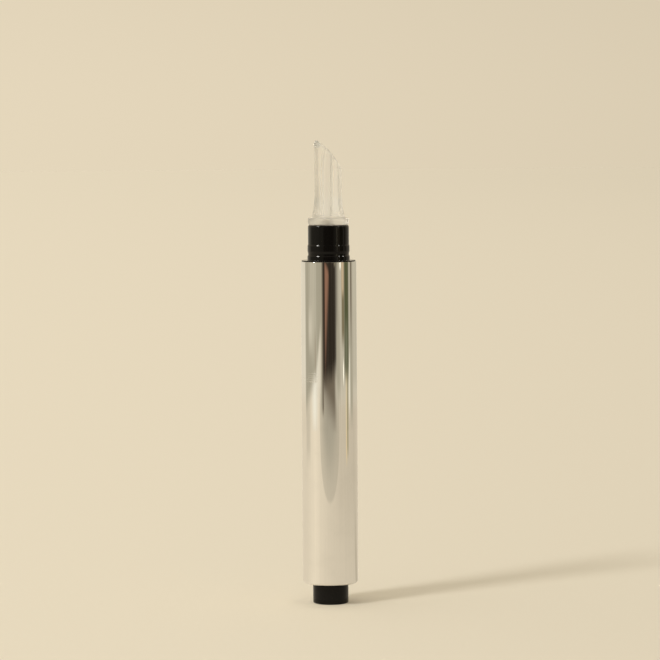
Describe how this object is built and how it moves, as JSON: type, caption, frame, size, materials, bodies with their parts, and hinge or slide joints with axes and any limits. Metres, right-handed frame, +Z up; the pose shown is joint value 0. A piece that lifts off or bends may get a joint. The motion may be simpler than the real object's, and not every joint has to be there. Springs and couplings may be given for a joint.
{
  "type": "click pen lip gloss",
  "caption": "Slim click pen for lip gloss: polished metal barrel, black push button at the foot, black collar and a clear slanted silicone applicator tip.",
  "frame": {"origin": "centre of the push button's flat lower end, on the surface that the pen stands on", "axes": "+Z up along the pen towards the applicator tip; +X towards the low side of the tip's slanted face"},
  "size_m": [0.0136, 0.0136, 0.1127],
  "materials": {
    "polished_aluminium": "polished",
    "black_plastic": "gloss",
    "clear_silicone": "gloss",
    "natural_plastic": "satin",
    "white_plastic": "satin",
    "grey_plastic": "satin",
    "soft_plastic": "matte",
    "spring_steel": "satin",
    "gloss": "gloss"
  },
  "bodies": {
    "barrel": {"barrel_sleeve": "polished_aluminium", "mechanism_housing": "natural_plastic", "check_pawl_ring": "white_plastic", "rod_guide": "grey_plastic", "cartridge": "natural_plastic", "applicator_holder": "black_plastic", "feed_tube": "natural_plastic", "applicator_tip": "clear_silicone", "return_spring": "spring_steel", "gloss_fill": "gloss"},
    "button": {"click_button": "black_plastic"},
    "driver": {"drive_sleeve": "white_plastic"},
    "nut": {"ratchet_nut": "grey_plastic"},
    "rod": {"feed_rod": "white_plastic", "piston": "soft_plastic"}
  },
  "joints": [
    {"name": "button_press", "type": "slide", "parent": "barrel", "child": "button", "axis": [0, 0, 1], "range_m": [0, 0.0025], "stiffness_N_per_m": 400, "springref_m": -0.004, "deforming": ["return_spring"]},
    {"name": "driver_turn", "type": "hinge", "parent": "barrel", "child": "driver", "pos_m": [0, 0, 0.025], "axis": [0, 0, 1], "range_deg": [-45.5, 0]},
    {"name": "nut_turn", "type": "hinge", "parent": "barrel", "child": "nut", "pos_m": [0, 0, 0.029], "axis": [0, 0, 1], "range_deg": [-9010, 0]},
    {"name": "piston_feed", "type": "slide", "parent": "barrel", "child": "rod", "axis": [0, 0, 1], "range_m": [0, 0.025], "deforming": ["gloss_fill"]}
  ],
  "couplings": [
    {"joint": "driver_turn", "follows": "button_press", "rad_per_m": -314.16},
    {"joint": "nut_turn", "follows": "piston_feed", "rad_per_m": -6283.2}
  ]
}
